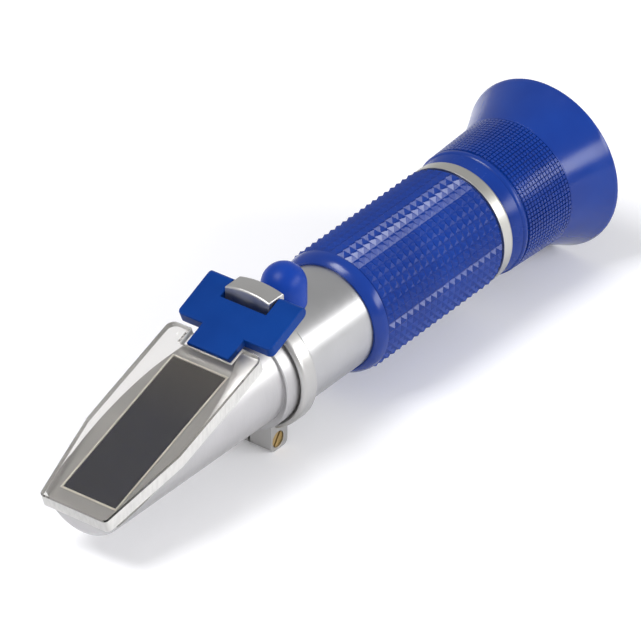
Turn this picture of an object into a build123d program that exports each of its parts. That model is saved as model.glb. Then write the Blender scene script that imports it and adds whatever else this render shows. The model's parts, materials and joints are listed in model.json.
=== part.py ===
"""Handheld refractometer: a slanted prism head with a hinged clear cover, a split clamp collar,
a satin tube with a ridged grip, and a turning focus ring with a flared eyecup.

Millimetres. The parts are drawn in the tube's own frame: x runs along the tube axis towards the eye,
x = 0 is the front face of the grip, z is up. They are moved to the object's frame when written:
origin below the middle of the object, level with the lowest point of the eyecup's rim.
"""
from build123d import *
import math
import os

# Fits between pieces, per side
run_fit = 0.05
press_fit = 0.03
face_gap = 0.1

# Body tube, and the neck of the head that lines up with it
tube_r = 12.1
tube_wall = 1.2
tube_show = 21.2
neck_show = 3.6
neck_chamfer = 0.25
tail_len = 5.0
tail_wall = 2.7
seal_ring_r = 0.7

# Clamp collar with the hinge lug on top and the split block below
collar_len = 4.4
collar_wall = 1.62
collar_front_round = 1.2
collar_rear_round = 0.4
collar_bore_chamfer = 0.6
lug_width = 11.4
lug_len = 5.0
lug_overhang = 1.5
lug_crown = 2.4
lug_round = 0.4
block_width = 11.6
block_len = 5.6
block_overhang = 1.3
block_depth = 5.6
block_round = 1.4
slit_width = 0.6
clamp_depth = 3.2
clamp_back = 2.4
clamp_head_r = 1.85
clamp_head_len = 1.7
clamp_shank_r = 1.15
clamp_recess = 0.3
clamp_slot_turn = 35

# Prism head
head_len = 53.0
head_rear_r = 11.1
head_tip_r = 10.55
head_rise = 0.7
nose_round = 1.4
light_bore_r = 5.5
wide_bore_len = 9.0

# Slanted face with the prism and the clear cover
slope_angle = 18.8
nose_land = -5.05
prism_len = 38.4
prism_width = 13.6
prism_tip_inset = 3.6
prism_proud = 0.15
prism_tip_depth = 2.4
prism_exit_height = 12.0
prism_chamfer = 0.2
seal_width = 0.45
seal_depth = 1.2
cover_width = 24.12
cover_tip_width = 17.22
cover_taper_len = 21.0
cover_thick = 3.6
cover_overhang = 1.55
cover_rear_round = 2.0
cover_tip_round = 1.2
cover_chamfer = 0.3
recess_gap = 1.2
recess_len = 4.2
recess_floor = 1.7

# Hinge plate and its pin
hinge_rise = 5.7
hinge_back = 2.9
plate_width = 24.2
plate_thick = 2.8
plate_reach = 11.35
plate_to_cover = 2.15
plate_round = 1.2
plate_edge_round = 0.3
stem_width = 10.8
stem_front_gap = 0.75
swing_gap = 0.23
pin_r = 0.75
pin_inset = 1.2

# Calibration: bush, screw, slider, bimetal strip and the objective that it carries
calib_back = 6.5
calib_travel = 0.5
bush_r = 2.55
bush_rise = 2.9
bush_flange_r = 3.4
bush_flange_rise = 1.5
calib_screw_r = 1.5
calib_screw_sink = 0.7
calib_neck_r = 0.9
calib_disc_thick = 0.8
screw_slot_width = 0.5
screw_slot_depth = 0.7
slider_len = 5.0
slider_width = 4.2
slider_web = 0.8
strip_thick = 0.5
strip_width = 4.0
strip_len = 16.4
strip_seat_depth = 0.2
strip_screw_r = 0.6
strip_screw_head = 0.4
cell_r = 7.2
cell_wall = 1.2
cell_len = 5.0
cell_lip_len = 0.6
objective_edge = 1.2
objective_dome_height = 0.7

# Rubber cap over the calibration screw
cap_r = 4.87
cap_side = 3.66
cap_top_gap = 0.8
cap_seat_gap = 0.15

# Grip sleeve, its radii measured out from the tube
grip_len = 43.6
grip_face_wall = 0.45
grip_lip_len = 2.85
grip_lip_wall = 1.95
grip_crest_wall = 2.4
grip_ridge_depth = 0.75
grip_rows = 19
grip_row_start = 3.3
grip_row_end_gap = 0.3

# Rear ring, reticle and baffle
ring_show = 3.5
ring_wall = 2.1
ring_round = 0.9
sleeve_len = 7.0
nose_wall = 1.4
drag_ring_r = 0.4
drag_ring_inset = 2.0
guide_pin_r = 0.8
guide_pin_back = 5.9
guide_pin_tip = 0.3
reticle_step = 0.3
reticle_thick = 1.6
reticle_ring_len = 1.5
reticle_ring_wall = 1.5
baffle_x = 14.0
baffle_thick = 1.0
baffle_hole_r = 6.0

# Lens carrier with its two lenses
carrier_r = 8.95
carrier_wall = 0.95
carrier_back = 1.5
carrier_lip_len = 0.5
carrier_tail = 1.7
lens_seat = 0.9
flange_step = 0.8
flange_thick = 1.5
flange_lead = 1.1
retainer_len = 2.0
focus_travel = 2.5
field_lens_edge = 1.0
field_lens_dome_height = 1.2
eye_lens_edge = 1.4
eye_lens_dome_height = 0.9
eye_ring_len = 1.1

# Focus ring and eyecup
focus_gap = 0.4
focus_len = 19.2
focus_front_r = 13.15
focus_cone_len = 2.7
focus_cone_r = 14.3
focus_lip_len = 1.3
focus_lip_r = 14.75
focus_groove = 0.35
focus_groove_len = 0.5
knurl_front_r = 14.8
knurl_rear_r = 15.35
knurl_rows = 15
knurl_depth = 0.3
knurl_edge = 0.3
spigot_r = 13.15
spigot_len = 1.7
rim_r = 19.88
rim_round = 0.4
cup_depth = 10.7
cup_sag = 0.25
cup_floor_r = 13.4
cup_floor_thick = 2.2
cup_bore_gap = 0.45

# Places along the tube that follow from the sizes above
bore_r = tube_r - tube_wall
collar_rear = -tube_show
collar_front = collar_rear - collar_len
collar_bore = tube_r + run_fit
tube_front = collar_rear - collar_len / 2
tail_rear = tube_front + tail_len
tail_r = bore_r - run_fit
neck_front = collar_front - neck_show
nose_x = neck_front - head_len
calib_x = collar_rear + calib_back
ring_front = grip_len
ring_rear = ring_front + ring_show
focus_front = ring_rear + focus_gap
focus_rear = focus_front + focus_len
cup_front = focus_rear - spigot_len
cup_rear = focus_rear + cup_depth

# Inside the focus ring: the nose of the rear ring, then the carrier's flange and its retainer
retainer_rear = cup_front - face_gap
retainer_front = retainer_rear - retainer_len
flange_rear = retainer_front - face_gap
flange_front = flange_rear - flange_thick
nose_rear = flange_front - flange_lead
nose_r = carrier_r + run_fit + nose_wall
drag_ring_x = nose_rear - drag_ring_inset

# The slanted face: u runs up the slope from the nose, w stands off it
slope = math.radians(slope_angle)
slope_plane = Plane(origin=(nose_x, 0, nose_land),
                    x_dir=(math.cos(slope), 0, math.sin(slope)),
                    z_dir=(-math.sin(slope), 0, math.cos(slope)))


def on_slope(u, w):
    """x and z of a point u up the slope from the nose and w above the face."""
    point = slope_plane.from_local_coords(Vector(u, 0, w))
    return point.X, point.Z


prism_rear_u = prism_tip_inset + prism_len
exit_x, exit_top = on_slope(prism_rear_u, prism_proud)

# The hinge axis crosses the lug, and the hinge plate runs from it to the recess in the cover
lug_front = collar_front - lug_overhang
hinge_x = lug_front + hinge_back
hinge_z = tube_r + hinge_rise
lug_top_r = hinge_z + lug_crown
cover_low = prism_proud + face_gap
cover_top = cover_low + cover_thick
cover_tip_u = -cover_overhang
cover_rear_u = slope_plane.to_local_coords(Vector(hinge_x, 0, hinge_z)).X - plate_reach - plate_to_cover
recess_front_u = cover_rear_u - recess_len
recess_low = cover_low + recess_floor
stem_x, stem_z = on_slope(recess_front_u + stem_front_gap, recess_low)
plate_tilt = math.atan2(hinge_z - stem_z, hinge_x - stem_x)
stem_reach = math.hypot(hinge_z - stem_z, hinge_x - stem_x)
notch_reach = math.hypot(hinge_back, lug_crown) + swing_gap
plate_plane = Plane(origin=(hinge_x, 0, hinge_z),
                    x_dir=(-math.cos(plate_tilt), 0, -math.sin(plate_tilt)),
                    z_dir=(-math.sin(plate_tilt), 0, math.cos(plate_tilt)))

# The whole object stands with its middle over the origin
front_x = on_slope(cover_tip_u, cover_top - cover_chamfer)[0]
to_object = Location((-(front_x + cup_rear) / 2, 0, rim_r))


def outline(*points):
    """Face in the xz plane. A point (x, z) is a corner, (x, z, r) a corner rounded by r,
    and (x, z, via_x, via_z) is reached from the point before it by an arc through (via_x, via_z)."""
    corners = [Vector(point[0], 0, point[1]) for point in points]
    arrive, leave, edges = [], [], []
    for i, (corner, point) in enumerate(zip(corners, points)):
        if len(point) != 3:
            arrive.append(corner)
            leave.append(corner)
            continue
        back = (corners[i - 1] - corner).normalized()
        ahead = (corners[(i + 1) % len(corners)] - corner).normalized()
        half = math.radians(back.get_angle(ahead)) / 2
        reach = point[2] / math.tan(half)
        middle = corner + (back + ahead).normalized() * (point[2] / math.sin(half) - point[2])
        arrive.append(corner + back * reach)
        leave.append(corner + ahead * reach)
        edges.append(ThreePointArc(arrive[i], middle, leave[i]))
    for i, point in enumerate(points):
        if len(point) == 4:
            edges.append(ThreePointArc(leave[i - 1], Vector(point[2], 0, point[3]), arrive[i]))
        else:
            edges.append(Line(leave[i - 1], arrive[i]))
    return make_face(Curve() + edges)


def turned(*points):
    """Body of revolution about the tube axis from (x, radius) points."""
    return revolve(outline(*points), Axis.X, 360)


def slab(face, width):
    """A face in the xz plane made into a solid of the given width, even about y = 0."""
    return extrude(face, width / 2, dir=(0, 1, 0), both=True)


def rod(r, x0, x1):
    """Plain cylinder on the tube axis."""
    return Pos((x0 + x1) / 2, 0, 0) * Rot(0, 90, 0) * Cylinder(r, x1 - x0)


def post(r, z0, z1, x):
    """Plain cylinder standing up over the tube axis."""
    return Pos(x, 0, (z0 + z1) / 2) * Cylinder(r, z1 - z0)


def cross_rod(r, y0, y1, x, z):
    """Plain cylinder across the tube."""
    return Pos(x, (y0 + y1) / 2, z) * Rot(90, 0, 0) * Cylinder(r, y1 - y0)


def block(x0, x1, width, z0, z1):
    """Box, even about y = 0."""
    return Pos((x0 + x1) / 2, 0, (z0 + z1) / 2) * Box(x1 - x0, width, z1 - z0)


def ring(x0, x1, r_out, r_in):
    """Plain ring on the tube axis."""
    return turned((x0, r_in), (x0, r_out), (x1, r_out), (x1, r_in))


def sealing_ring(x, r_out, section_r):
    """Round rubber ring that just fills its groove."""
    return Pos(x, 0, 0) * Rot(0, 90, 0) * Torus(r_out - section_r, section_r)


def ring_groove(x, r_out, section_r):
    """Room for a sealing ring, cut from the outside of a sleeve."""
    half = section_r + face_gap
    return ring(x - half, x + half, r_out + section_r, r_out - 2 * section_r - run_fit)


def ridges(x0, x1, r0, r1, rows, depth):
    """Outline points of a row of V ridges whose crests run from radius r0 to r1."""
    pitch = (x1 - x0) / rows
    points = [(x0, r0 - depth)]
    for i in range(rows):
        crest = r0 + (r1 - r0) * (i + 0.5) / rows
        valley = r0 + (r1 - r0) * (i + 1) / rows - depth
        points += [(x0 + (i + 0.5) * pitch, crest), (x0 + (i + 1) * pitch, valley)]
    return points


def lens(front, edge, r, dome_height):
    """Lens, round on both faces, with a flat land at the rim for its seats."""
    rear = front + edge
    clear_r = r - lens_seat - face_gap
    ball_r = (clear_r ** 2 + dome_height ** 2) / (2 * dome_height)
    half_sag = math.sqrt(ball_r ** 2 - (clear_r / 2) ** 2) - ball_r + dome_height
    return turned((front - dome_height, 0), (front, clear_r, front - half_sag, clear_r / 2), (front, r),
                  (rear, r), (rear, clear_r), (rear + dome_height, 0, rear + half_sag, clear_r / 2))


# Prism head

def prism_shape(end, side, top):
    """The prism, or the room for it when grown by a gap at its ends, sides and top."""
    profile = outline(on_slope(prism_tip_inset - end, prism_proud + top),
                      on_slope(prism_tip_inset - end, prism_proud - prism_tip_depth),
                      (exit_x + end, exit_top - prism_exit_height),
                      (exit_x + end, exit_top + top))
    return slab(profile, prism_width + 2 * side)


def seal_block(grow, low, high):
    """Box round the prism's top edge, from low to high above the slanted face."""
    middle = prism_tip_inset + prism_len / 2
    box = Box(prism_len + 2 * grow, prism_width + 2 * grow, high - low)
    return slope_plane * Pos(middle, 0, (low + high) / 2) * box


def make_head():
    cone = Pos(0, 0, head_rise) * turned((neck_front, 0), (neck_front, head_rear_r),
                                         (nose_x, head_tip_r, nose_round), (nose_x, 0))
    above = slope_plane * Pos(0, 0, head_len) * Box(4 * head_len, 4 * tube_r, 2 * head_len)
    neck = turned((neck_front, 0), (neck_front, tube_r - neck_chamfer), (neck_front + neck_chamfer, tube_r),
                  (tube_front, tube_r), (tube_front, tail_r), (tail_rear, tail_r), (tail_rear, 0))
    head = (cone - above) + neck
    head -= ring_groove(tube_front + tail_len / 2, tail_r, seal_ring_r)
    head -= rod(bore_r - tail_wall, tube_front - wide_bore_len, tail_rear)
    head -= rod(light_bore_r, exit_x, tube_front)
    head -= prism_shape(face_gap, face_gap, 2 * prism_proud)
    return head - seal_block(seal_width, -seal_depth, 2 * prism_proud)


def make_prism():
    prism = prism_shape(0, 0, 0)
    top_face = prism.faces().sort_by(Axis(slope_plane.origin, slope_plane.z_dir))[-1]
    return chamfer(top_face.edges(), prism_chamfer)


def make_prism_seal():
    outer = seal_block(seal_width - press_fit, -seal_depth + press_fit, prism_proud - press_fit)
    return outer - seal_block(press_fit, -2 * seal_depth, 2 * prism_proud)


# Clamp collar and its screw

def make_collar():
    """Split ring, hinge lug and clamp block in one piece, bored for the tube and the neck."""
    collar_r, bore_mouth = tube_r + collar_wall, collar_bore + collar_bore_chamfer
    ring_core = turned((collar_front, 0), (collar_front, collar_r, collar_front_round),
                       (collar_rear, collar_r, collar_rear_round), (collar_rear, 0))
    lug = block(lug_front, lug_front + lug_len, lug_width, 0, lug_top_r) & rod(
        lug_top_r, lug_front, lug_front + lug_len)
    lug = fillet(lug.faces().filter_by(GeomType.CYLINDER).edges(), lug_round)
    foot_front, foot_low = collar_front - block_overhang, -tube_r - block_depth
    foot = block(foot_front, foot_front + block_len, block_width, foot_low, 0)
    foot = fillet(foot.edges().filter_by(Axis.Y).group_by(Axis.Z)[0], block_round)
    collar = ring_core + lug + foot
    collar -= turned((lug_front - 1, 0), (lug_front - 1, bore_mouth), (collar_front, bore_mouth),
                     (collar_front + collar_bore_chamfer, collar_bore), (collar_rear + 1, collar_bore),
                     (collar_rear + 1, 0))
    collar -= block(foot_front - 1, collar_rear + 1, slit_width, foot_low - 1, -bore_r)
    collar -= cross_rod(pin_r + run_fit, -lug_width, lug_width, hinge_x, hinge_z)
    screw_x, screw_z = clamp_place()
    near = -block_width / 2
    collar -= cross_rod(clamp_head_r + run_fit, near - 1, near + clamp_recess + clamp_head_len,
                        screw_x, screw_z)
    return collar - cross_rod(clamp_shank_r + run_fit, near, -near + 1, screw_x, screw_z)


def clamp_place():
    """x and z of the clamp screw's axis."""
    return collar_front - block_overhang + clamp_back, -tube_r - clamp_depth


def make_clamp_screw():
    screw_x, screw_z = clamp_place()
    face = -block_width / 2 + clamp_recess
    screw = cross_rod(clamp_head_r, face, face + clamp_head_len, screw_x, screw_z)
    screw += cross_rod(clamp_shank_r, face, -face, screw_x, screw_z)
    slot = Box(screw_slot_width, 2 * screw_slot_depth, 3 * clamp_head_r)
    return screw - Pos(screw_x, face, screw_z) * Rot(0, clamp_slot_turn, 0) * slot


# Hinge plate, pin and clear cover

def make_hinge_plate():
    """A T: two wings astride the lug, and a stem that lies in the recess of the cover."""
    half = plate_thick / 2
    plan = Pos(plate_reach / 2, 0) * Rectangle(plate_reach, plate_width)
    plan = fillet(plan.vertices().group_by(Axis.X)[-1], plate_round)
    wings = extrude(plate_plane * plan, half, dir=plate_plane.z_dir, both=True)
    wings += cross_rod(half, -plate_width / 2, plate_width / 2, hinge_x, hinge_z)
    notch_width = lug_width + 4 * face_gap
    wings -= plate_plane * Box(2 * notch_reach, notch_width, 2 * plate_thick)
    stem_back = (plate_reach + notch_reach) / 2
    stem = plate_plane * Pos((stem_back + stem_reach) / 2, 0, 0) * Box(
        stem_reach - stem_back, stem_width, plate_thick)
    stem -= slope_plane * Pos(recess_front_u, 0, recess_low - plate_thick) * Box(
        2 * plate_reach, plate_width, 2 * plate_thick)
    plate = wings + stem
    top = plate.faces().filter_by(plate_plane).sort_by(Axis(plate_plane.origin, plate_plane.z_dir))[-1]
    rims = [edge for edge in top.edges() if plate_plane.to_local_coords(edge.center()).X > run_fit]
    plate = fillet(rims, plate_edge_round)
    return plate - cross_rod(pin_r + press_fit, pin_inset - plate_width / 2, plate_width, hinge_x, hinge_z)


def make_hinge_pin():
    return cross_rod(pin_r, pin_inset - plate_width / 2, plate_width / 2 - face_gap, hinge_x, hinge_z)


def make_cover():
    half, tip = cover_width / 2, cover_tip_width / 2
    bend_u = cover_tip_u + cover_taper_len
    corners = [(cover_rear_u, half), (bend_u, half), (cover_tip_u, tip)]
    plan = make_face(Polyline(*corners, *[(u, -y) for u, y in reversed(corners)], close=True))
    plan = fillet(plan.vertices().group_by(Axis.X)[-1], cover_rear_round)
    plan = fillet(plan.vertices().group_by(Axis.X)[0], cover_tip_round)
    plate = extrude(slope_plane * Pos(0, 0, cover_low) * plan, cover_thick, dir=slope_plane.z_dir)
    recess = Box(2 * recess_len, stem_width + 2 * recess_gap, 2 * cover_thick)
    plate -= slope_plane * Pos(cover_rear_u, 0, recess_low + cover_thick) * recess
    flats = plate.faces().filter_by(slope_plane).sort_by(Axis(slope_plane.origin, slope_plane.z_dir))
    return chamfer(flats[0].edges() + flats[-1].edges(), cover_chamfer)


# Tube, grip and rear ring

def make_tube():
    tube = ring(tube_front + run_fit, ring_front, tube_r, bore_r)
    return tube - post(bush_r + press_fit, 0, 2 * tube_r, calib_x)


def make_grip():
    """Sleeve with a smooth rounded lip, then rows of ridges."""
    bore, lip_r = tube_r + press_fit, tube_r + grip_lip_wall
    face_r = tube_r + grip_face_wall
    rise = lip_r - face_r
    lip_ball = (grip_lip_len ** 2 + rise ** 2) / (2 * rise)
    half_angle = math.asin(grip_lip_len / lip_ball) / 2
    via = (grip_lip_len - lip_ball * math.sin(half_angle), lip_r - lip_ball * (1 - math.cos(half_angle)))
    crest = tube_r + grip_crest_wall
    rows = ridges(grip_row_start, grip_len - grip_row_end_gap, crest, crest, grip_rows, grip_ridge_depth)
    root = crest - grip_ridge_depth
    return turned((0, bore), (0, face_r), (grip_lip_len, lip_r, *via), (grip_lip_len, root), *rows,
                  (grip_len, root), (grip_len, bore))


def make_rear_ring():
    """Silver ring with a sleeve that seats in the tube and a nose that guides the focus ring."""
    carrier_bore = carrier_r + run_fit
    step_x = ring_front - sleeve_len / 2
    sleeve_front = ring_front - sleeve_len
    body = turned((sleeve_front, carrier_bore + reticle_step), (sleeve_front, tail_r), (ring_front, tail_r),
                  (ring_front, tube_r + ring_wall), (ring_rear, tube_r + ring_wall, ring_round),
                  (ring_rear, nose_r), (nose_rear, nose_r), (nose_rear, carrier_bore),
                  (step_x, carrier_bore), (step_x, carrier_bore + reticle_step))
    body -= ring_groove(drag_ring_x, nose_r, drag_ring_r)
    return body - post(guide_pin_r + press_fit, 0, 2 * nose_r, ring_rear + guide_pin_back)


def make_reticle():
    rear = ring_front - sleeve_len / 2
    return rod(carrier_r + reticle_step, rear - reticle_thick, rear)


def make_reticle_ring():
    rear = ring_front - sleeve_len / 2 - reticle_thick
    r = carrier_r + reticle_step
    return ring(rear - reticle_ring_len, rear, r, r - reticle_ring_wall)


def make_baffle():
    return ring(baffle_x, baffle_x + baffle_thick, bore_r - run_fit, baffle_hole_r)


# Calibration group: the screw lifts the slider, and the strip carries the objective

slider_top = bore_r - calib_travel - 3 * face_gap
strip_low = cell_r - strip_seat_depth
slider_low = strip_low + strip_thick
strip_front = calib_x - slider_len / 2
strip_rear = strip_front + strip_len
strip_screw_front = strip_front + slider_len - 2 * strip_screw_r
strip_screw_rear = strip_rear - cell_len / 2
bush_low = bore_r - face_gap
bush_top = tube_r + bush_rise
disc_low = slider_low + slider_web
cell_front = strip_rear - cell_len
objective_r = cell_r - cell_wall - press_fit


def tube_room(gap):
    """The tube's outside under the calibration cap, grown by a gap."""
    return rod(tube_r + gap, calib_x - 2 * cap_r, calib_x + 2 * cap_r)


def make_bush():
    bush = post(bush_flange_r, 0, tube_r + bush_flange_rise, calib_x) - tube_room(run_fit)
    bush += post(bush_r, bush_low, bush_top, calib_x)
    return bush - post(calib_screw_r + run_fit, 0, 2 * bush_top, calib_x)


def make_calibration_screw():
    """Slotted screw whose neck and end disc hang in the slider."""
    top = bush_top - calib_screw_sink
    screw = post(calib_screw_r, bush_low, top, calib_x)
    screw += post(calib_neck_r, disc_low, bush_low, calib_x)
    screw += post(calib_screw_r, disc_low, disc_low + calib_disc_thick, calib_x)
    return screw - Pos(calib_x, 0, top) * Box(3 * calib_screw_r, screw_slot_width, 2 * screw_slot_depth)


def make_slider():
    """Block with a keyhole slot, open at the front, for the screw's disc and neck."""
    slider = block(strip_front, strip_front + slider_len, slider_width, slider_low, slider_top)
    slot_front = strip_front - 1
    disc_room, disc_top = calib_screw_r + face_gap, disc_low + calib_disc_thick + face_gap
    neck_room = calib_neck_r + face_gap
    slider -= post(disc_room, disc_low - face_gap, disc_top, calib_x)
    slider -= block(slot_front, calib_x, 2 * disc_room, disc_low - face_gap, disc_top)
    slider -= post(neck_room, disc_low, slider_top + 1, calib_x)
    slider -= block(slot_front, calib_x, 2 * neck_room, disc_low, slider_top + 1)
    return slider - post(strip_screw_r + press_fit, slider_low - 1, slider_low + slider_web, strip_screw_front)


def make_strip():
    strip = block(strip_front, strip_rear, strip_width, strip_low, slider_low)
    for x in (strip_screw_front, strip_screw_rear):
        strip -= post(strip_screw_r + press_fit, strip_low - 1, slider_low + 1, x)
    return strip


def make_strip_screws():
    """One screw up into the slider and one down into the cell."""
    front = post(strip_screw_r, strip_low, slider_low + slider_web - face_gap, strip_screw_front)
    front += post(2 * strip_screw_r, strip_low - strip_screw_head, strip_low, strip_screw_front)
    rear = post(strip_screw_r, cell_r - cell_wall, slider_low, strip_screw_rear)
    rear += post(2 * strip_screw_r, slider_low, slider_low + strip_screw_head, strip_screw_rear)
    return [front, rear]


def make_cell():
    """Ring with a front lip for the objective and a milled flat for the strip."""
    cell = ring(cell_front, strip_rear, cell_r, cell_r - cell_wall)
    cell += ring(cell_front, cell_front + cell_lip_len, cell_r, objective_r - lens_seat)
    cell -= block(cell_front - 1, strip_rear + 1, 2 * cell_r, strip_low, 2 * cell_r)
    return cell - post(strip_screw_r + press_fit, 0, 2 * cell_r, strip_screw_rear)


def make_objective():
    return lens(cell_front + cell_lip_len, objective_edge, objective_r, objective_dome_height)


def make_objective_ring():
    front = cell_front + cell_lip_len + objective_edge
    return ring(front, strip_rear, objective_r, objective_r - lens_seat)


def make_cap():
    """Domed cap that sits on the tube and grips the bush's flange."""
    shoulder = tube_r + cap_side
    top = shoulder + cap_r
    slant = cap_r * math.sqrt(0.5)
    dome = outline((0, 0), (cap_r, 0), (cap_r, shoulder), (0, top, slant, shoulder + slant))
    cap = Pos(calib_x, 0, 0) * revolve(dome, Axis.Z, 360) - tube_room(cap_seat_gap)
    cap -= post(bush_flange_r + run_fit, 0, tube_r + bush_flange_rise + face_gap, calib_x)
    return cap - post(bush_r + run_fit, 0, bush_top + cap_top_gap, calib_x)


# Eyepiece: a lens carrier that slides, and a focus ring and eyecup that turn on it

flange_r = nose_r + flange_step
carrier_front = ring_rear + carrier_back
carrier_rear = focus_rear + carrier_tail
guide_x = ring_rear + guide_pin_back
glass_bore = carrier_r - carrier_wall
glass_r = glass_bore - press_fit
field_lens_front = carrier_front + carrier_lip_len
eye_lens_front = carrier_rear - eye_ring_len - eye_lens_edge


def make_carrier():
    lip_r = glass_r - lens_seat
    carrier = turned((carrier_front, lip_r), (carrier_front, carrier_r), (flange_front, carrier_r),
                     (flange_front, flange_r), (flange_rear, flange_r), (flange_rear, carrier_r),
                     (carrier_rear, carrier_r), (carrier_rear, glass_bore), (field_lens_front, glass_bore),
                     (field_lens_front, lip_r))
    slot_front = guide_x - guide_pin_r - focus_travel - face_gap
    slot_rear = guide_x + guide_pin_r + face_gap
    slot_width = 2 * (guide_pin_r + run_fit)
    return carrier - block(slot_front, slot_rear, slot_width, glass_bore - carrier_wall, 2 * carrier_r)


def make_guide_pin():
    pin = cross_rod(guide_pin_r, 0, nose_r - face_gap - glass_bore - guide_pin_tip, 0, 0)
    return Pos(guide_x, 0, glass_bore + guide_pin_tip) * Rot(90, 0, 0) * pin


def make_field_lens():
    return lens(field_lens_front, field_lens_edge, glass_r, field_lens_dome_height)


def make_lens_spacer():
    return ring(field_lens_front + field_lens_edge, eye_lens_front, glass_r, glass_r - lens_seat)


def make_eye_lens():
    return lens(eye_lens_front, eye_lens_edge, glass_r, eye_lens_dome_height)


def make_eye_lens_ring():
    return ring(carrier_rear - eye_ring_len, carrier_rear, glass_r, glass_r - lens_seat)


def make_focus_ring():
    """Coned front, a smooth round lip, a fine groove, then the grip rows."""
    cone_rear = focus_front + focus_cone_len
    lip_rear = cone_rear + focus_lip_len
    lip_via = (cone_rear + focus_lip_len / 4, focus_cone_r + 0.7 * (focus_lip_r - focus_cone_r))
    groove_r = focus_lip_r - focus_groove
    knurl_front = lip_rear + focus_groove_len
    rows = ridges(knurl_front, focus_rear - knurl_edge, knurl_front_r, knurl_rear_r, knurl_rows, knurl_depth)
    flange_room, flange_wall = flange_r + face_gap, flange_front - face_gap
    return turned((focus_front, nose_r + run_fit), (focus_front, focus_front_r), (cone_rear, focus_cone_r),
                  (lip_rear, focus_lip_r, *lip_via), (lip_rear, groove_r), (knurl_front, groove_r), *rows,
                  (focus_rear, knurl_rear_r), (focus_rear, spigot_r + press_fit),
                  (cup_front, spigot_r + press_fit), (cup_front, flange_room),
                  (flange_wall, flange_room), (flange_wall, nose_r + run_fit))


def make_focus_retainer():
    """Ring screwed in behind the carrier's flange, so that the focus ring can only turn on it."""
    return ring(retainer_front, retainer_rear, flange_r + face_gap - press_fit, carrier_r + run_fit)


def make_eyecup():
    """Flared cup on a spigot, open in the middle for the eye lens."""
    bore = carrier_r + cup_bore_gap
    floor_x = focus_rear + cup_floor_thick
    rim_x = cup_rear - rim_round
    sag = ((focus_rear + rim_x) / 2, (knurl_rear_r + rim_r) / 2 - cup_sag)
    return turned((cup_front, bore), (cup_front, spigot_r), (focus_rear, spigot_r),
                  (focus_rear, knurl_rear_r), (rim_x, rim_r, *sag),
                  (rim_x, rim_r - 2 * rim_round, cup_rear, rim_r - rim_round),
                  (floor_x, cup_floor_r), (floor_x, bore))


parts = {
    "prism_head": make_head(),
    "measuring_prism": make_prism(),
    "prism_seal": make_prism_seal(),
    "head_seal_ring": sealing_ring(tube_front + tail_len / 2, tail_r, seal_ring_r),
    "clamp_collar": make_collar(),
    "clamp_screw": make_clamp_screw(),
    "hinge_plate": make_hinge_plate(),
    "hinge_pin": make_hinge_pin(),
    "daylight_plate": make_cover(),
    "body_tube": make_tube(),
    "grip_sleeve": make_grip(),
    "rear_ring": make_rear_ring(),
    "reticle": make_reticle(),
    "reticle_ring": make_reticle_ring(),
    "tube_baffle": make_baffle(),
    "calibration_bush": make_bush(),
    "calibration_screw": make_calibration_screw(),
    "calibration_slider": make_slider(),
    "bimetal_strip": make_strip(),
    "strip_screws": make_strip_screws(),
    "objective_cell": make_cell(),
    "objective_lens": make_objective(),
    "objective_ring": make_objective_ring(),
    "calibration_cap": make_cap(),
    "guide_pin": make_guide_pin(),
    "drag_ring": sealing_ring(drag_ring_x, nose_r, drag_ring_r),
    "eyepiece_carrier": make_carrier(),
    "field_lens": make_field_lens(),
    "lens_spacer": make_lens_spacer(),
    "eye_lens": make_eye_lens(),
    "eye_lens_ring": make_eye_lens_ring(),
    "focus_ring": make_focus_ring(),
    "focus_retainer": make_focus_retainer(),
    "eyecup": make_eyecup(),
}

os.makedirs("parts", exist_ok=True)
for name, shape in parts.items():
    pieces = [to_object * solid for piece in (shape if isinstance(shape, list) else [shape])
              for solid in piece.solids()]
    export_step(pieces[0] if len(pieces) == 1 else Compound(children=pieces), f"parts/{name}.step")
print("tube frame sits at", [round(value, 3) for value in to_object.position])
print("hinge axis at", round(hinge_x + to_object.position.X, 3), round(hinge_z + rim_r, 3))
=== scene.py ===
"""Looks for the handheld refractometer: camera, studio, finishes, and the fine pieces of the
grip, the focus ring, the eyecup and the clear cover. The turned pieces are drawn in millimetres
in the tube's own frame, with x along the tube and x = 0 at the front of the grip, and each is
then put in its place in the row frame, in metres."""

import json
import math

import bmesh
import bpy
from mathutils import Matrix, Vector


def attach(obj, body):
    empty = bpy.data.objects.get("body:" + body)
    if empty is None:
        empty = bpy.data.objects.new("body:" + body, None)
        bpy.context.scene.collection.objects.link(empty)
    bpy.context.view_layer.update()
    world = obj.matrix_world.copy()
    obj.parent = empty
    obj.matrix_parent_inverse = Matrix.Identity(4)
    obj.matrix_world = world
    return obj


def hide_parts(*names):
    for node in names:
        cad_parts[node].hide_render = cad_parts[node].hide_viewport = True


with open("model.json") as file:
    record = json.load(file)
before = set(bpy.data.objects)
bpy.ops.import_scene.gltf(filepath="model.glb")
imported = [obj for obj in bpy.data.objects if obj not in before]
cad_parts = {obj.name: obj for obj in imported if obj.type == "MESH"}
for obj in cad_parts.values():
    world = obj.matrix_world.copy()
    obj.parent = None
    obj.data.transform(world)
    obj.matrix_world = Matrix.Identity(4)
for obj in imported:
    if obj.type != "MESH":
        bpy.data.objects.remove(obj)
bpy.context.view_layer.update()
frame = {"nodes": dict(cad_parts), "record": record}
scene = bpy.context.scene
scene.view_settings.view_transform = "Standard"

MM = 0.001
GRIP_FRONT_X = 3.706
AXIS_HEIGHT = 19.88
TUBE_PLACE = Matrix.Scale(MM, 4) @ Matrix.Translation((GRIP_FRONT_X, 0, AXIS_HEIGHT))


# Camera at the photograph's viewing angle

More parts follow.
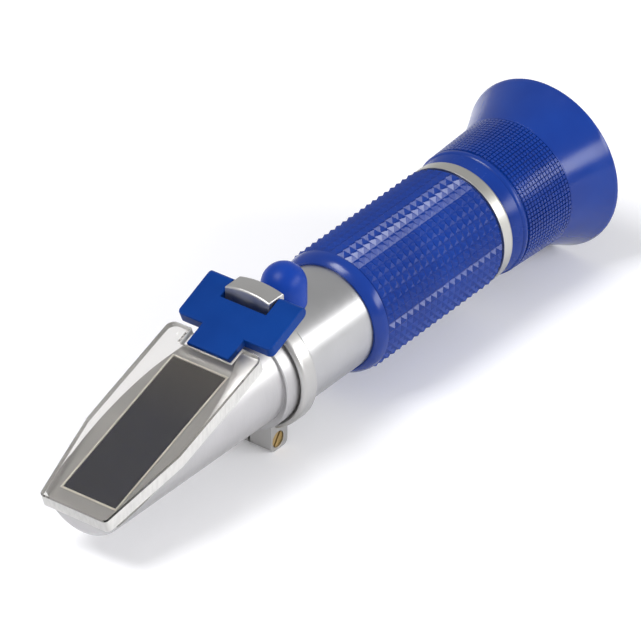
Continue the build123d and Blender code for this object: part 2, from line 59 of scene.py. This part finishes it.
CAMERA_SPOT = (-976.58, -744.64, 797.25)  # millimetres in the tube's frame
CAMERA_AZIMUTH, CAMERA_ELEVATION, CAMERA_ROLL = -52.61, 33.02, -0.18  # degrees
SENSOR_WIDTH, FOCAL_LENGTH = 36, 393.14  # millimetres
NEAREST_SEEN, FARTHEST_SEEN = 0.05, 30  # metres


def camera_turn(azimuth, elevation, roll):
    """Turn of a camera that looks at the tube from an azimuth and an elevation."""
    a, e, t = (math.radians(v) for v in (azimuth, elevation, roll))
    back = Vector((math.sin(a) * math.cos(e), -math.cos(a) * math.cos(e), math.sin(e)))
    level = Vector((math.cos(a), math.sin(a), 0))
    upright = back.cross(level)
    right = math.cos(t) * level + math.sin(t) * upright
    up = math.cos(t) * upright - math.sin(t) * level
    return Matrix((right, up, back)).transposed().to_4x4()


camera = bpy.data.objects.new("camera", bpy.data.cameras.new("camera"))
camera.data.sensor_width = SENSOR_WIDTH
camera.data.lens = FOCAL_LENGTH
camera.data.clip_start = NEAREST_SEEN
camera.data.clip_end = FARTHEST_SEEN
camera.matrix_world = (Matrix.Translation(TUBE_PLACE @ Vector(CAMERA_SPOT))
                       @ camera_turn(CAMERA_AZIMUTH, CAMERA_ELEVATION, CAMERA_ROLL))
scene.collection.objects.link(camera)
scene.camera = camera


# Finishes: colours are screen values from 0 to 255, and depths and radii are metres

NOISE_MIDDLE = (0.3, 0.7)  # the values that a noise mostly keeps to


def linear(red, green, blue):
    """Colour of the shader for screen values."""
    return tuple((v / 255 / 12.92 if v <= 10 else ((v / 255 + 0.055) / 1.055) ** 2.4)
                 for v in (red, green, blue)) + (1,)


def finish(name, colour, **sockets):
    """Material with one Principled shader, and its constants on the shader's own sockets."""
    material = bpy.data.materials.new(name)
    material.use_nodes = True
    shader = material.node_tree.nodes["Principled BSDF"]
    shader.inputs["Base Color"].default_value = linear(*colour)
    for socket, value in sockets.items():
        shader.inputs[socket.replace("_", " ")].default_value = value
    return material, material.node_tree, shader


def noise(tree, scale, detail=3, stretch=None):
    """Noise on object coordinates, stretched along an axis when asked."""
    place = tree.nodes.new("ShaderNodeTexCoord")
    texture = tree.nodes.new("ShaderNodeTexNoise")
    texture.inputs["Scale"].default_value = scale
    texture.inputs["Detail"].default_value = detail
    where = place.outputs["Object"]
    if stretch:
        mapping = tree.nodes.new("ShaderNodeMapping")
        mapping.inputs["Scale"].default_value = stretch
        tree.links.new(where, mapping.inputs["Vector"])
        where = mapping.outputs["Vector"]
    tree.links.new(where, texture.inputs["Vector"])
    return texture.outputs["Fac"]


def ramp(tree, source, starts, ends, low, high):
    """A value from starts to ends mapped to low...high, and held outside them."""
    mapped = tree.nodes.new("ShaderNodeMapRange")
    limits = {"From Min": starts, "From Max": ends, "To Min": low, "To Max": high}
    for socket, value in limits.items():
        mapped.inputs[socket].default_value = value
    tree.links.new(source, mapped.inputs["Value"])
    return mapped.outputs["Result"]


def spread(tree, source, low=0, high=1):
    """A noise's middle values mapped to low...high."""
    return ramp(tree, source, *NOISE_MIDDLE, low, high)


def tint(tree, shader, share, dark, light):
    """Base colour between two close tones, by the share of the light one."""
    mix = tree.nodes.new("ShaderNodeMix")
    mix.data_type = "RGBA"
    mix.inputs["A"].default_value = linear(*dark)
    mix.inputs["B"].default_value = linear(*light)
    tree.links.new(share, mix.inputs["Factor"])
    tree.links.new(mix.outputs["Result"], shader.inputs["Base Color"])


def edge_round(tree, radius, samples=6):
    """Normal that softens hard edges."""
    bevel = tree.nodes.new("ShaderNodeBevel")
    bevel.samples = samples
    bevel.inputs["Radius"].default_value = radius
    return bevel.outputs["Normal"]


def relief(tree, shader, source, depth, normal=None):
    """Fine relief, laid over a softened normal when there is one."""
    bump = tree.nodes.new("ShaderNodeBump")
    bump.inputs["Distance"].default_value = depth
    tree.links.new(source, bump.inputs["Height"])
    if normal:
        tree.links.new(normal, bump.inputs["Normal"])
    tree.links.new(bump.outputs["Normal"], shader.inputs["Normal"])


def turned_metal(name, dark, light, roughness, tool_marks):
    """Satin metal with the fine marks of turning or brushing along one way."""
    drift_scale, marks_scale, marks_detail = 45, 900, 3
    smoother, rougher = 0.05, 0.06
    marks_depth, edge_radius = 0.000002, 0.00015
    material, tree, shader = finish(name, light, Metallic=1.0)
    tint(tree, shader, spread(tree, noise(tree, drift_scale)), dark, light)
    marks = noise(tree, marks_scale, marks_detail, tool_marks)
    tree.links.new(spread(tree, marks, roughness - smoother, roughness + rougher),
                   shader.inputs["Roughness"])
    relief(tree, shader, marks, marks_depth, edge_round(tree, edge_radius))
    return material


def moulded(name, dark, light, roughness, edge=0.00012, grain=0.000004, specular=0.5, coat=0.0):
    """Moulded plastic or rubber: two close tones, a fine skin and softened edges."""
    drift_scale, wear_scale, skin_scale, skin_detail = 60, 240, 5200, 2
    smoother, rougher, coat_roughness = 0.04, 0.05, 0.18
    material, tree, shader = finish(name, light, Specular_IOR_Level=specular, Coat_Weight=coat,
                                    Coat_Roughness=coat_roughness)
    tint(tree, shader, spread(tree, noise(tree, drift_scale)), dark, light)
    wear = spread(tree, noise(tree, wear_scale), roughness - smoother, roughness + rougher)
    tree.links.new(wear, shader.inputs["Roughness"])
    relief(tree, shader, noise(tree, skin_scale, skin_detail), grain, edge_round(tree, edge))
    return material


def dark_glass(name):
    """Polished face of the measuring prism, dark because no light comes back up through it,
    and browner towards its rear end."""
    brown_starts, brown_ends = -0.054, -0.038  # metres along the row
    least_brown, most_brown = 0.025, 0.75
    flow_scale, flow_detail, flow_depth = 400, 2, 0.0000002
    material, tree, shader = finish(name, (36, 36, 52), Roughness=0.12, Specular_IOR_Level=0.15)
    place = tree.nodes.new("ShaderNodeTexCoord")
    along = tree.nodes.new("ShaderNodeSeparateXYZ")
    tree.links.new(place.outputs["Object"], along.inputs["Vector"])
    brown = ramp(tree, along.outputs["X"], brown_starts, brown_ends, least_brown, most_brown)
    tint(tree, shader, brown, (22, 23, 44), (80, 74, 66))
    relief(tree, shader, noise(tree, flow_scale, flow_detail), flow_depth)
    return material


def clear_plastic(name, colour, roughness):
    """Polished clear plastic or glass, with a faint wave in its faces."""
    wear_scale, rougher = 90, 0.03
    wave_scale, wave_detail, wave_depth = 160, 2, 0.0000005
    material, tree, shader = finish(name, colour, Transmission_Weight=1.0, IOR=1.49)
    wear = spread(tree, noise(tree, wear_scale), roughness, roughness + rougher)
    tree.links.new(wear, shader.inputs["Roughness"])
    relief(tree, shader, noise(tree, wave_scale, wave_detail), wave_depth)
    return material


def sawn_edge(name):
    """Sawn edge of the clear cover: cloudy and pale, with fine streaks across the thickness."""
    streak_scale, streak_detail, across = 1500, 3, (1, 1, 0.2)
    streak_depth, edge_radius = 0.000002, 0.00015
    material, tree, shader = finish(name, (232, 231, 228), Transmission_Weight=0.35, IOR=1.49)
    streaks = noise(tree, streak_scale, streak_detail, across)
    tint(tree, shader, spread(tree, streaks), (226, 225, 222), (246, 245, 242))
    tree.links.new(spread(tree, streaks, 0.3, 0.38), shader.inputs["Roughness"])
    relief(tree, shader, streaks, streak_depth, edge_round(tree, edge_radius))
    return material


ROUND_THE_TUBE = (6, 0.35, 0.35)
ALONG_THE_TUBE = (0.3, 5, 5)

# Dark tone, light tone, roughness and the way of the tool marks
METALS = {
    "head_satin": ((176, 175, 176), (189, 188, 189), 0.42, ROUND_THE_TUBE),
    "collar_satin": ((176, 175, 173), (188, 187, 186), 0.36, ROUND_THE_TUBE),
    "tube_satin": ((174, 174, 175), (186, 186, 187), 0.34, ROUND_THE_TUBE),
    "ring_satin": ((182, 181, 176), (194, 193, 188), 0.36, ROUND_THE_TUBE),
    "black_anodised": ((20, 20, 22), (28, 28, 30), 0.5, ROUND_THE_TUBE),
    "brass": ((178, 150, 96), (196, 168, 112), 0.34, ALONG_THE_TUBE),
    "steel": ((170, 171, 174), (186, 187, 190), 0.3, ALONG_THE_TUBE),
}

# Dark tone, light tone, roughness and what differs from a plain moulding
MOULDINGS = {
    "blue_plate": ((0, 50, 124), (0, 58, 137), 0.4, dict(specular=0.1)),
    "blue_grip": ((0, 44, 128), (2, 54, 144), 0.2, dict(edge=0.00003, specular=0.36)),
    "blue_focus": ((0, 42, 124), (2, 52, 140), 0.24, dict(edge=0.00003, specular=0.3)),
    "blue_cup": ((0, 42, 126), (0, 52, 140), 0.2, dict(grain=0.0000015, specular=0.34, coat=0.05)),
    "blue_cap": ((8, 52, 144), (16, 62, 158), 0.38, dict(specular=0.18)),
    "seal_rubber": ((22, 22, 24), (32, 32, 34), 0.6, {}),
    "prism_cement": ((236, 232, 222), (248, 245, 237), 0.5, {}),
}

finishes = {name: turned_metal(name, *look) for name, look in METALS.items()}
for name, (dark, light, roughness, extras) in MOULDINGS.items():
    finishes[name] = moulded(name, dark, light, roughness, **extras)
finishes["prism_glass"] = dark_glass("prism_glass")
finishes["clear_cover"] = clear_plastic("clear_cover", (241, 239, 235), 0.015)
finishes["lens_glass"] = clear_plastic("lens_glass", (244, 249, 247), 0.0)
cover_edge = sawn_edge("cover_edge")

for entry in frame["record"]["subparts"]:
    for holder in frame["nodes"][entry["node"]].material_slots:
        holder.material = finishes[entry["material_slot"]]


# Mesh helpers

def bow(start, end, sag, chords):
    """Points of a shallow arc from start to end, in chords, that stands off a line by sag."""
    (x0, r0), (x1, r1) = start, end
    run, rise = x1 - x0, r1 - r0
    length = math.hypot(run, rise)
    off_x, off_r = -rise / length * sag, run / length * sag
    points = []
    for i in range(chords + 1):
        t = i / chords
        lift = 4 * t * (1 - t)
        points.append((x0 + run * t + lift * off_x, r0 + rise * t + lift * off_r))
    return points


def spun(outline, steps):
    """Closed ring or solid turned about the tube axis from its (x, radius) points."""
    merge_within = 0.0005  # millimetres
    bm = bmesh.new()
    verts = [bm.verts.new((x, 0, r)) for x, r in outline]
    edges = [bm.edges.new(pair) for pair in zip(verts, verts[1:] + verts[:1])]
    bmesh.ops.spin(bm, geom=verts + edges, cent=(0, 0, 0), axis=(1, 0, 0), angle=2 * math.pi,
                   steps=steps, use_merge=True)
    bmesh.ops.remove_doubles(bm, verts=bm.verts, dist=merge_within)
    bmesh.ops.recalc_face_normals(bm, faces=bm.faces)
    return bm


def outer_cells(bm, beyond):
    """Faces that look away from the axis, past a radius."""
    steepest = 0.1
    return [f for f in bm.faces if abs(f.normal.x) < steepest
            and math.hypot(*f.calc_center_median().yz) > beyond]


def with_shell(core, shell):
    """The core with a second closed shell beside it in the same mesh."""
    mesh = bpy.data.meshes.new("shell")
    shell.to_mesh(mesh)
    shell.free()
    core.from_mesh(mesh)
    bpy.data.meshes.remove(mesh)
    return core


def in_place(bm):
    """The mesh moved from the tube's frame, in millimetres, to the row frame, in metres."""
    bmesh.ops.transform(bm, matrix=TUBE_PLACE, verts=bm.verts)
    return bm


def add_piece(name, bm, body, slot, *nodes, smooth_below):
    """Make a piece from a mesh in the row frame, in place of the CAD nodes that it stands for."""
    for face in bm.faces:
        face.smooth = True
    for edge in bm.edges:
        edge.smooth = (len(edge.link_faces) != 2
                       or edge.calc_face_angle() < math.radians(smooth_below))
    mesh = bpy.data.meshes.new(name)
    bm.to_mesh(mesh)
    bm.free()
    mesh.materials.append(finishes[slot])
    piece = bpy.data.objects.new(name, mesh)
    scene.collection.objects.link(piece)
    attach(piece, body)
    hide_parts(*nodes)
    return piece


# Grip sleeve: a smooth lip, then rows of pyramids

def make_grip():
    length, bore_r, core_r = 43.6, 12.13, 13.6
    lip_length, lip_front_r, lip_rear_r, lip_sag, lip_step = 2.85, 12.55, 14.05, 0.32, 0.1
    rows, around = 19, 43
    rows_front, rows_length = 3.3, 40.0
    foot_r, base_r, pyramid_height = 13.2, 13.75, 0.75
    lip = bow((0, lip_front_r), (lip_length, lip_rear_r), lip_sag, chords=8)
    core = spun([(0, bore_r)] + lip + [(lip_length + lip_step, core_r), (length, core_r),
                                       (length, bore_r)], steps=4 * around)
    base = [(rows_front + rows_length * i / rows, base_r) for i in range(rows + 1)]
    pyramids = spun([(rows_front, foot_r)] + base + [(rows_front + rows_length, foot_r)],
                    steps=around)
    bmesh.ops.poke(pyramids, faces=outer_cells(pyramids, (foot_r + base_r) / 2),
                   offset=pyramid_height)
    return with_shell(core, pyramids)


add_piece("grip_with_pyramids", in_place(make_grip()), "main_body", "blue_grip", "grip_sleeve",
          smooth_below=25)


# Places along the tube that the focus ring and the eyecup share
CUP_FRONT = 65.0
CUP_SHOULDER, CUP_SHOULDER_R = 66.7, 15.35


# Focus ring: coned front, smooth lip, a groove, then square knurling

def make_focus_ring():
    front, front_r, cone_rear, cone_rear_r, cone_sag = 47.5, 13.15, 50.2, 14.3, 0.05
    lip = [(50.35, 14.5), (50.65, 14.68), (51.0, 14.75), (51.3, 14.7), (51.5, 14.55)]
    groove_front, groove_rear, groove_r = 51.5, 52.0, 14.4
    core_front_r, core_rear, core_rear_r = 14.45, 66.35, 15.0
    rim_front, rim_front_r = 66.4, 15.3
    carrier_bore_r, retainer_front, retainer_bore_r, cup_bore_r = 10.45, 61.2, 11.3, 13.18
    rows, around = 15, 94
    knurl_front_r, knurl_rise, knurl_foot_r = 14.5, 0.55, 14.2
    gap_half, slope_width, slope_height = 0.06, 0.13, 0.25
    cone = bow((front, front_r), (cone_rear, cone_rear_r), cone_sag, chords=3)
    core = spun([(front, carrier_bore_r)] + cone + lip
                + [(groove_front, groove_r), (groove_rear, groove_r), (groove_rear, core_front_r),
                   (core_rear, core_rear_r), (rim_front, rim_front_r),
                   (CUP_SHOULDER, CUP_SHOULDER_R), (CUP_SHOULDER, cup_bore_r),
                   (CUP_FRONT, cup_bore_r), (CUP_FRONT, retainer_bore_r),
                   (retainer_front, retainer_bore_r), (retainer_front, carrier_bore_r)],
                steps=2 * around)
    knurl_length = rim_front - groove_rear
    band = [(groove_rear + knurl_length * i / rows, knurl_front_r + knurl_rise * i / rows)
            for i in range(rows + 1)]
    knurl = spun([(groove_rear, knurl_foot_r)] + band + [(rim_front, knurl_foot_r)], steps=around)
    cells = outer_cells(knurl, groove_r)
    bmesh.ops.inset_individual(knurl, faces=cells, thickness=gap_half, depth=0)
    bmesh.ops.inset_individual(knurl, faces=cells, thickness=slope_width, depth=slope_height)
    return with_shell(core, knurl)


add_piece("focus_ring_knurled", in_place(make_focus_ring()), "focus_grip", "blue_focus",
          "focus_ring", smooth_below=25)


# Eyecup: a flared cup with a thin rounded rim

def make_eyecup():
    spigot_r, eyepiece_bore_r = 13.15, 9.4
    floor_x, floor_r = 68.9, 13.4
    flare_rear, flare_rear_r, flare_sag = 77.0, 19.86, -0.25
    mouth, mouth_r = 77.2, 19.2
    rim = [(77.3, 19.8), (77.4, 19.6), (77.38, 19.35)]
    flare = bow((CUP_SHOULDER, CUP_SHOULDER_R), (flare_rear, flare_rear_r), flare_sag,
                chords=16)
    inside = bow((mouth, mouth_r), (floor_x, floor_r), sag=0, chords=12)
    return spun([(CUP_FRONT, eyepiece_bore_r), (CUP_FRONT, spigot_r), (CUP_SHOULDER, spigot_r)]
                + flare + rim + inside + [(floor_x, eyepiece_bore_r)], steps=192)


add_piece("eyecup_flared", in_place(make_eyecup()), "focus_grip", "blue_cup", "eyecup",
          smooth_below=40)


# Clear cover: polished flats, and a cloudy edge all round and in the recess for the stem

def make_clear_cover():
    merge_within = 0.000001  # metres
    slope = math.radians(18.8)
    edge_facing = 0.3
    bm = bmesh.new()
    bm.from_mesh(frame["nodes"]["daylight_plate"].data)
    bmesh.ops.remove_doubles(bm, verts=bm.verts, dist=merge_within)
    off_slope = Vector((-math.sin(slope), 0, math.cos(slope)))
    for face in bm.faces:
        face.material_index = 1 if abs(face.normal.dot(off_slope)) < edge_facing else 0
    return bm


clear_cover = add_piece("cover_clear", make_clear_cover(), "cover", "clear_cover",
                        "daylight_plate", smooth_below=25)
clear_cover.data.materials.append(cover_edge)


# Studio: pale floor at the angle of rest, a long low light on the right, a high one over the head

FLOOR_GLOW, WORLD_GLOW = (0.0, 0.14), (0.42, 0.62)  # as light on the object, and in view


def glow_in_view(tree, as_light, in_view):
    """Strength that differs between light on the object and what camera, metal and glass see."""
    paths = tree.nodes.new("ShaderNodeLightPath")
    seen = paths.outputs["Is Camera Ray"]
    for ray in ("Is Glossy Ray", "Is Transmission Ray"):
        either = tree.nodes.new("ShaderNodeMath")
        either.operation = "MAXIMUM"
        tree.links.new(seen, either.inputs[0])
        tree.links.new(paths.outputs[ray], either.inputs[1])
        seen = either.outputs[0]
    return ramp(tree, seen, 0, 1, as_light, in_view)


def pale_floor():
    """Matt floor with a faint glow in view, which keeps it near white."""
    material, tree, shader = finish("pale_floor", (243, 243, 246), Roughness=0.7,
                                    Specular_IOR_Level=0.1)
    shader.inputs["Emission Color"].default_value = (1, 1, 1, 1)
    tree.links.new(glow_in_view(tree, *FLOOR_GLOW), shader.inputs["Emission Strength"])
    return material


def make_floor():
    """Floor through the eyecup's rim and the clamp block's foot, on which the object lies."""
    rim_x, foot_x, foot_z = 81.1, -21.0, 2.18  # millimetres in the row frame
    reach, just_under = 4, 0.00005  # metres
    rest_angle = math.atan2(foot_z, rim_x - foot_x)
    bm = bmesh.new()
    bmesh.ops.create_grid(bm, x_segments=1, y_segments=1, size=reach)
    bmesh.ops.rotate(bm, verts=bm.verts, cent=(0, 0, 0), matrix=Matrix.Rotation(rest_angle, 3, "Y"))
    bmesh.ops.translate(bm, verts=bm.verts, vec=(rim_x * MM, 0, -just_under))
    mesh = bpy.data.meshes.new("floor")
    bm.to_mesh(mesh)
    bm.free()
    mesh.materials.append(pale_floor())
    floor = bpy.data.objects.new("floor", mesh)
    scene.collection.objects.link(floor)


def area_light(name, direction, distance, width, height, power):
    """Panel at a distance in a direction from the object, facing it."""
    lamp = bpy.data.lights.new(name, "AREA")
    lamp.shape = "RECTANGLE"
    lamp.size, lamp.size_y = width, height
    lamp.energy = power
    light = bpy.data.objects.new(name, lamp)
    aim = Vector((0.01, 0, 0.015))
    place = aim + Vector(direction).normalized() * distance
    turn = (place - aim).to_track_quat("Z", "Y").to_matrix().to_4x4()
    light.matrix_world = Matrix.Translation(place) @ turn
    scene.collection.objects.link(light)


make_floor()
area_light("right_softbox", (0.32, -0.86, 0.40), distance=1.0, width=1.0, height=0.3, power=7.0)
area_light("front_key", (-0.48, 0.24, 0.9), distance=1.3, width=0.55, height=0.55, power=11.5)

world = bpy.data.worlds.new("studio")
scene.world = world
world.use_nodes = True
background = world.node_tree.nodes["Background"]
background.inputs["Color"].default_value = (1, 1, 1, 1)
world.node_tree.links.new(glow_in_view(world.node_tree, *WORLD_GLOW), background.inputs["Strength"])
